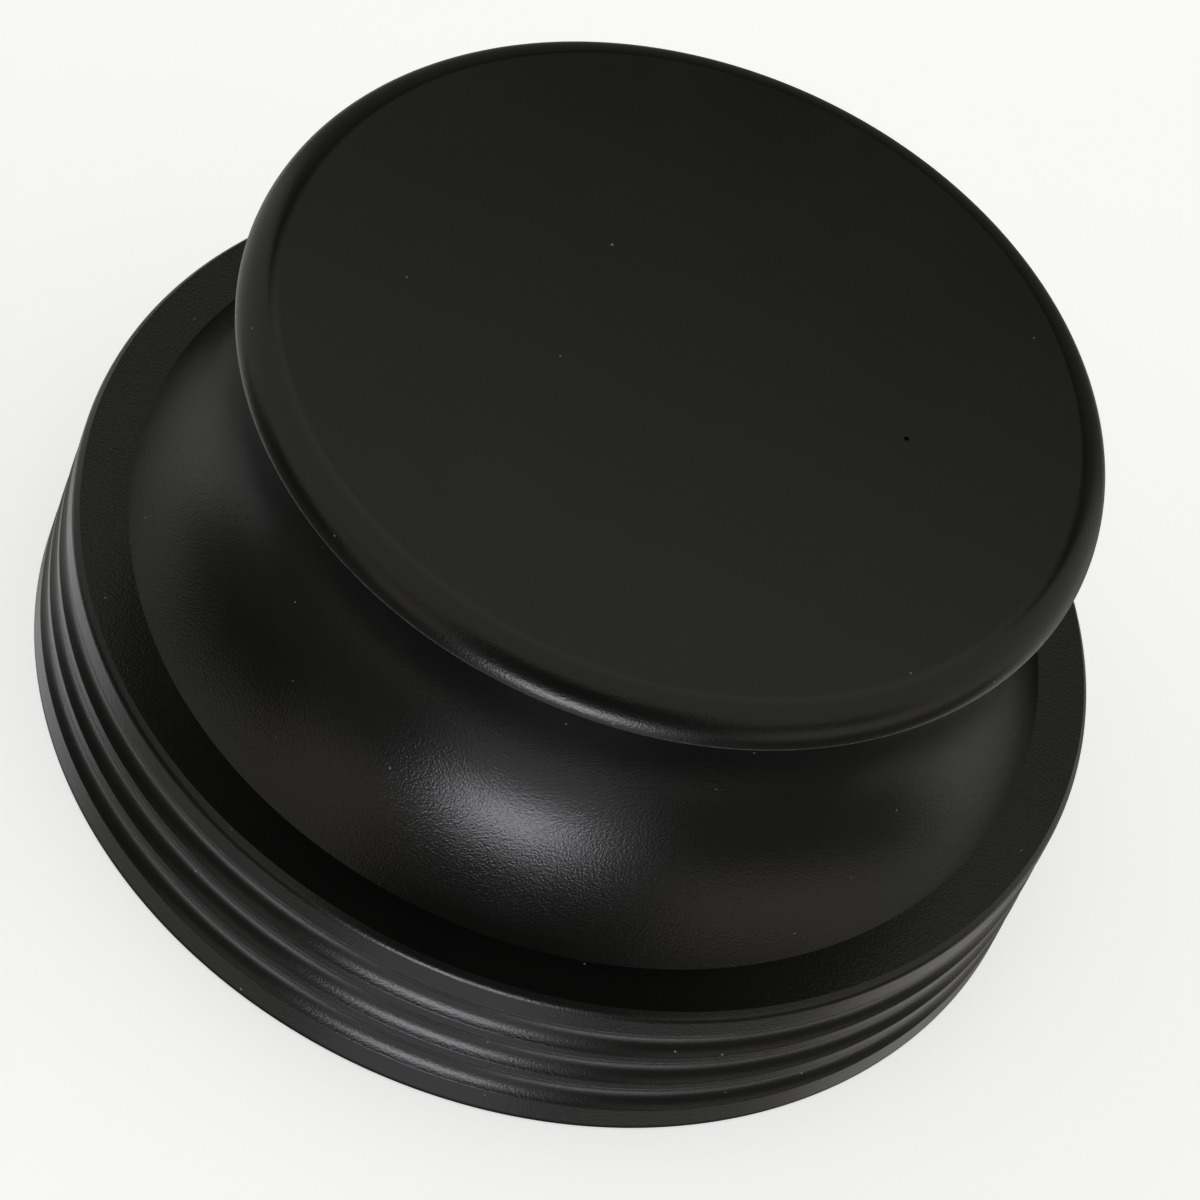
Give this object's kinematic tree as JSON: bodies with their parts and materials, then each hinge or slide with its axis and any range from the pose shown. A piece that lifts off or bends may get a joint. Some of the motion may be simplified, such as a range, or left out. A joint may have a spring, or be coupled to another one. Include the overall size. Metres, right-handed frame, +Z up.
{
  "type": "record weight",
  "caption": "Spool-shaped black metal weight with a grooved base, a hollow waist and a flat cap, set over a turntable spindle to press a record flat.",
  "frame": {"origin": "centre of the underside, where the weight's axis meets the record it stands on", "axes": "+Z up along the turning axis, from the base to the cap; X and Y are free, because the part is round"},
  "size_m": [0.08, 0.08, 0.0407],
  "materials": {
    "black_anodised": "bead-blasted and anodised black, satin"
  },
  "bodies": {
    "root": {"record_weight": "black_anodised"}
  },
  "joints": []
}
